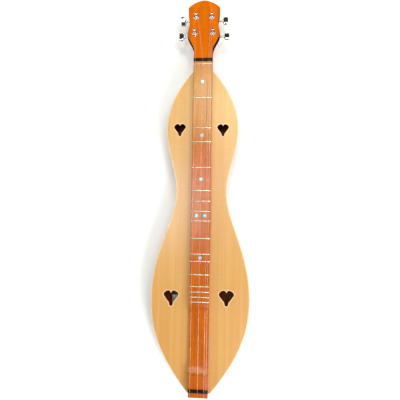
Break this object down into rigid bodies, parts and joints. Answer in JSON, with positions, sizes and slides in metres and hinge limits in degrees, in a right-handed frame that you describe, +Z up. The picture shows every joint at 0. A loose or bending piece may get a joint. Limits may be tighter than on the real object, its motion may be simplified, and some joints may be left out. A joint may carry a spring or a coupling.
{
  "type": "appalachian dulcimer",
  "caption": "Hourglass fretted zither with heart sound holes, a raised fretboard with a strum hollow, and geared tuners that wind the strings.",
  "frame": {"origin": "centre of the bounding box's bottom face, on the underside of the back", "axes": "+Z up out of the soundboard, +Y along the instrument towards the headstock, +X towards the melody strings"},
  "size_m": [0.2076, 0.8454, 0.0756],
  "materials": {
    "spruce_top": "satin",
    "cherry_back": "satin",
    "cherry_side": "gloss",
    "cherry_head": "gloss",
    "cherry_fretboard": "satin",
    "inner_spruce": "matte",
    "ebony": "satin",
    "fret_wire": "polished",
    "pearl": "gloss",
    "paper": "matte",
    "brass_pin": "polished",
    "wound_string": "satin",
    "plain_string": "polished",
    "brass_wheel": "satin",
    "steel_shaft": "polished",
    "chrome": "polished"
  },
  "bodies": {
    "instrument": {"back_bass": "cherry_back", "back_brace_lower": "inner_spruce", "back_brace_upper": "inner_spruce", "back_brace_waist": "inner_spruce", "back_seam_strip": "inner_spruce", "back_treble": "cherry_back", "bridge": "ebony", "fretboard": "cherry_fretboard", "frets": "fret_wire", "headstock": "cherry_head", "hitch_pins": "brass_pin", "label": "paper", "lining_back_bass": "inner_spruce", "lining_back_treble": "inner_spruce", "lining_top_bass": "inner_spruce", "lining_top_treble": "inner_spruce", "nut": "ebony", "position_dots": "pearl", "side_bass": "cherry_side", "side_treble": "cherry_side", "soundboard_bass": "spruce_top", "soundboard_brace_lower": "inner_spruce", "soundboard_brace_upper": "inner_spruce", "soundboard_brace_waist": "inner_spruce", "soundboard_treble": "spruce_top", "string_bass": "wound_string", "string_melody_inner": "plain_string", "string_melody_outer": "plain_string", "string_middle": "plain_string", "tail_block": "cherry_side", "tuner_bushing_bass": "chrome", "tuner_bushing_melody_inner": "chrome", "tuner_bushing_melody_outer": "chrome", "tuner_bushing_middle": "chrome", "tuner_housing_bass": "chrome", "tuner_housing_melody_inner": "chrome", "tuner_housing_melody_outer": "chrome", "tuner_housing_middle": "chrome", "tuner_screws": "chrome", "tuner_washers": "chrome"},
    "post_bass": {"string_post_bass": "chrome", "worm_wheel_bass": "brass_wheel", "string_winding_bass": "wound_string"},
    "button_bass": {"worm_shaft_bass": "steel_shaft", "tuner_button_bass": "chrome"},
    "post_middle": {"string_post_middle": "chrome", "worm_wheel_middle": "brass_wheel", "string_winding_middle": "plain_string"},
    "button_middle": {"worm_shaft_middle": "steel_shaft", "tuner_button_middle": "chrome"},
    "post_melody_inner": {"string_post_melody_inner": "chrome", "worm_wheel_melody_inner": "brass_wheel", "string_winding_melody_inner": "plain_string"},
    "button_melody_inner": {"worm_shaft_melody_inner": "steel_shaft", "tuner_button_melody_inner": "chrome"},
    "post_melody_outer": {"string_post_melody_outer": "chrome", "worm_wheel_melody_outer": "brass_wheel", "string_winding_melody_outer": "plain_string"},
    "button_melody_outer": {"worm_shaft_melody_outer": "steel_shaft", "tuner_button_melody_outer": "chrome"}
  },
  "joints": [
    {"name": "button_spin_bass", "type": "hinge", "parent": "instrument", "child": "button_bass", "pos_m": [-0.0196, 0.34524, 0.04007], "axis": [1, 0, 0], "continuous": true},
    {"name": "post_spin_bass", "type": "hinge", "parent": "instrument", "child": "post_bass", "pos_m": [-0.0196, 0.34007, 0.06079], "axis": [0, 0.1392, 0.9903], "continuous": true},
    {"name": "button_spin_middle", "type": "hinge", "parent": "instrument", "child": "button_middle", "pos_m": [-0.0168, 0.38435, 0.03457], "axis": [1, 0, 0], "continuous": true},
    {"name": "post_spin_middle", "type": "hinge", "parent": "instrument", "child": "post_middle", "pos_m": [-0.0168, 0.37918, 0.05529], "axis": [0, 0.1392, 0.9903], "continuous": true},
    {"name": "button_spin_melody_inner", "type": "hinge", "parent": "instrument", "child": "button_melody_inner", "pos_m": [0.0168, 0.38435, 0.03457], "axis": [1, 0, 0], "continuous": true},
    {"name": "post_spin_melody_inner", "type": "hinge", "parent": "instrument", "child": "post_melody_inner", "pos_m": [0.0168, 0.37918, 0.05529], "axis": [0, 0.1392, 0.9903], "continuous": true},
    {"name": "button_spin_melody_outer", "type": "hinge", "parent": "instrument", "child": "button_melody_outer", "pos_m": [0.0196, 0.34524, 0.04007], "axis": [1, 0, 0], "continuous": true},
    {"name": "post_spin_melody_outer", "type": "hinge", "parent": "instrument", "child": "post_melody_outer", "pos_m": [0.0196, 0.34007, 0.06079], "axis": [0, 0.1392, 0.9903], "continuous": true}
  ],
  "couplings": [
    {"joint": "post_spin_bass", "follows": "button_spin_bass", "ratio": 0.071429},
    {"joint": "post_spin_middle", "follows": "button_spin_middle", "ratio": 0.071429},
    {"joint": "post_spin_melody_inner", "follows": "button_spin_melody_inner", "ratio": 0.071429},
    {"joint": "post_spin_melody_outer", "follows": "button_spin_melody_outer", "ratio": 0.071429}
  ]
}
